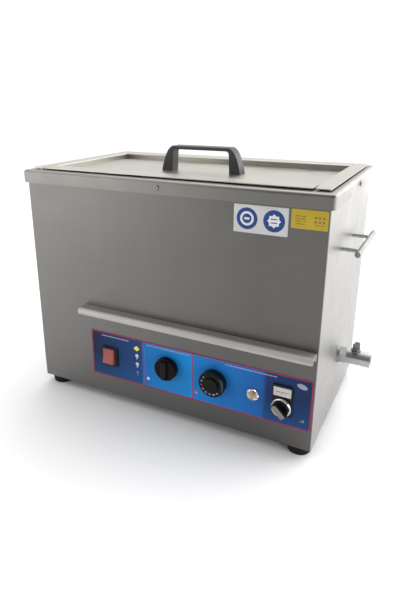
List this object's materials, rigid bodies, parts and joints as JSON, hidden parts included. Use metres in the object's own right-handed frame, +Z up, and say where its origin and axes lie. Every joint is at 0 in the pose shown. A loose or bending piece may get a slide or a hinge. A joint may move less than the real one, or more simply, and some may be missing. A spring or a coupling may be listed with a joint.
{
  "type": "heated bench bath",
  "caption": "Stainless bench bath with a heated tank, lift-off pan lid, timer, thermostat, selector, drain valve, drip ledge and side handles.",
  "frame": {"origin": "bottom centre of the whole object's box, on the surface that the feet stand on", "axes": "+X along the width towards the drain valve, +Y from the control panel to the rear, +Z up"},
  "size_m": [0.5574, 0.3144, 0.4135],
  "materials": {
    "stainless_brushed": "brushed",
    "screws_steel": "satin",
    "nickel": "satin plated",
    "black_plastic": "matt",
    "red_plastic": "gloss",
    "white_plastic": "satin",
    "overlay_print": "printed film",
    "label_print": "printed film",
    "amber_lens": "moulded",
    "rubber_black": "matt",
    "silicone": "matt",
    "wool": "fibrous",
    "copper": "drawn",
    "cable_sheath": "matt",
    "fuse_glass": "clear"
  },
  "bodies": {
    "root": {"outer_casing": "stainless_brushed", "rear_panel": "stainless_brushed", "bottom_plate": "stainless_brushed", "rubber_feet": "rubber_black", "foot_screws": "screws_steel", "foot_nuts": "screws_steel", "drip_ledge": "stainless_brushed", "panel_overlay": "overlay_print", "front_labels": "label_print", "top_rim": "stainless_brushed", "inner_tank": "stainless_brushed", "rim_screws": "screws_steel", "handle_bar_right": "stainless_brushed", "handle_bar_left": "stainless_brushed", "handle_posts": "stainless_brushed", "handle_screws": "screws_steel", "power_switch_housing": "black_plastic", "timer_body": "black_plastic", "thermostat_body": "black_plastic", "control_screws": "screws_steel", "lamp_bezel": "nickel", "lamp_lens": "amber_lens", "legend_holder": "black_plastic", "legend_insert": "white_plastic", "selector_bezel": "nickel", "selector_collar": "black_plastic", "selector_contacts": "black_plastic", "drain_boss": "screws_steel", "drain_elbow": "screws_steel", "drain_nipple": "screws_steel", "drain_locknuts": "nickel", "valve_body": "nickel", "valve_seats": "white_plastic", "heater_mat_floor": "silicone", "heater_mats_side": "silicone", "insulation_jacket": "wool", "thermostat_bulb": "screws_steel", "bulb_clips": "screws_steel", "thermostat_capillary": "copper", "overheat_cutout": "screws_steel", "terminal_block": "black_plastic", "earth_stud": "screws_steel", "wiring_loom": "cable_sheath", "mains_inlet": "black_plastic", "inlet_pins": "copper", "rear_panel_screws": "screws_steel"},
    "lid": {"lid_pan": "stainless_brushed", "lid_handle": "black_plastic", "lid_handle_screws": "screws_steel"},
    "timer": {"timer_knob": "black_plastic", "timer_shaft": "screws_steel"},
    "thermostat": {"thermostat_knob": "black_plastic", "thermostat_shaft": "screws_steel"},
    "selector": {"selector_handle": "black_plastic"},
    "rocker": {"power_rocker": "red_plastic"},
    "drain_valve": {"valve_ball": "screws_steel", "valve_stem": "screws_steel", "valve_lever": "black_plastic"},
    "fuse_holder": {"fuse_drawer": "black_plastic", "fuses": "fuse_glass"}
  },
  "joints": [
    {"name": "lid_lift", "type": "slide", "parent": "root", "child": "lid", "axis": [0, 0, 1], "range_m": [0, 0.25]},
    {"name": "timer_turn", "type": "hinge", "parent": "root", "child": "timer", "pos_m": [0.0024, -0.1437, 0.0916], "axis": [0, 1, 0], "range_deg": [0, 300]},
    {"name": "thermostat_turn", "type": "hinge", "parent": "root", "child": "thermostat", "pos_m": [0.0812, -0.1437, 0.0881], "axis": [0, 1, 0], "range_deg": [0, 270]},
    {"name": "selector_turn", "type": "hinge", "parent": "root", "child": "selector", "pos_m": [0.1854, -0.1437, 0.0765], "axis": [0, 1, 0], "range_deg": [0, 90]},
    {"name": "power_rock", "type": "hinge", "parent": "root", "child": "rocker", "pos_m": [-0.106, -0.1317, 0.0846], "axis": [1, 0, 0], "range_deg": [0, 16]},
    {"name": "drain_turn", "type": "hinge", "parent": "root", "child": "drain_valve", "pos_m": [0.2559, 0.0103, 0.115], "axis": [0, 0, 1], "range_deg": [0, 90]},
    {"name": "fuse_pull", "type": "slide", "parent": "root", "child": "fuse_holder", "axis": [0, 1, 0], "range_m": [0, 0.018]}
  ]
}
